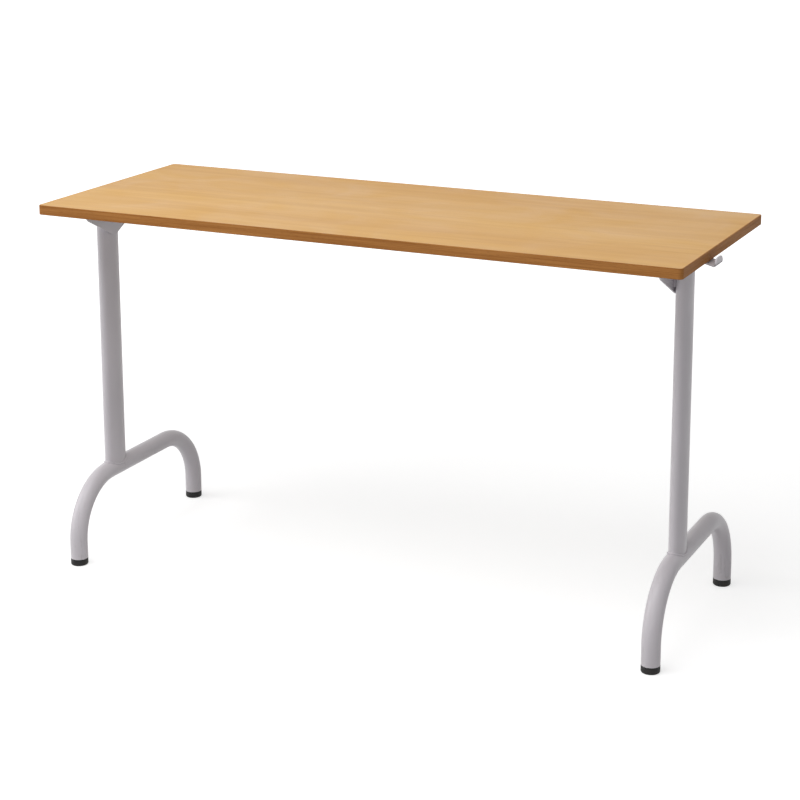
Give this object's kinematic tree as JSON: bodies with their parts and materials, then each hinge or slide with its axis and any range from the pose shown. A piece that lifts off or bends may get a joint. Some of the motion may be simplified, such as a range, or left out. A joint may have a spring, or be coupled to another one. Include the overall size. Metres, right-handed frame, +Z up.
{
  "type": "school desk",
  "caption": "Two-seat school desk: a long flat beech-look worktop on two grey tube side frames with arched feet, black floor caps and a bag hook at each end.",
  "frame": {"origin": "on the floor, below the middle of the worktop", "axes": "+X along the desk's length, +Y across its depth towards the side it is used from, +Z up"},
  "size_m": [1.329, 0.5, 0.742],
  "materials": {
    "beech_laminate": "satin decor laminate",
    "beech_edge": "satin edge band",
    "backing_laminate": "matt backing laminate",
    "chipboard": "raw chipboard",
    "grey_paint": "semi-gloss powder coat on steel",
    "black_plastic": "matt moulded plastic",
    "grey_plastic": "matt moulded plastic",
    "zinc_screw": "bright zinc plate"
  },
  "bodies": {
    "root": {"top_core": "chipboard", "top_laminate": "beech_laminate", "underside_laminate": "backing_laminate", "edge_band": "beech_edge", "left_post": "grey_paint", "right_post": "grey_paint", "left_foot_tube": "grey_paint", "right_foot_tube": "grey_paint", "left_head_plate": "grey_paint", "right_head_plate": "grey_paint", "cross_beam": "grey_paint", "left_fixing_bar": "grey_paint", "right_fixing_bar": "grey_paint", "left_bag_hook": "grey_paint", "right_bag_hook": "grey_paint", "left_foot_weld": "grey_paint", "right_foot_weld": "grey_paint", "left_head_weld": "grey_paint", "right_head_weld": "grey_paint", "left_beam_weld": "grey_paint", "right_beam_weld": "grey_paint", "left_front_foot_cap": "black_plastic", "left_rear_foot_cap": "black_plastic", "right_front_foot_cap": "black_plastic", "right_rear_foot_cap": "black_plastic", "left_beam_saddle": "grey_plastic", "right_beam_saddle": "grey_plastic", "hook_screws": "zinc_screw", "bar_screws": "zinc_screw", "beam_screws": "zinc_screw"}
  },
  "joints": []
}
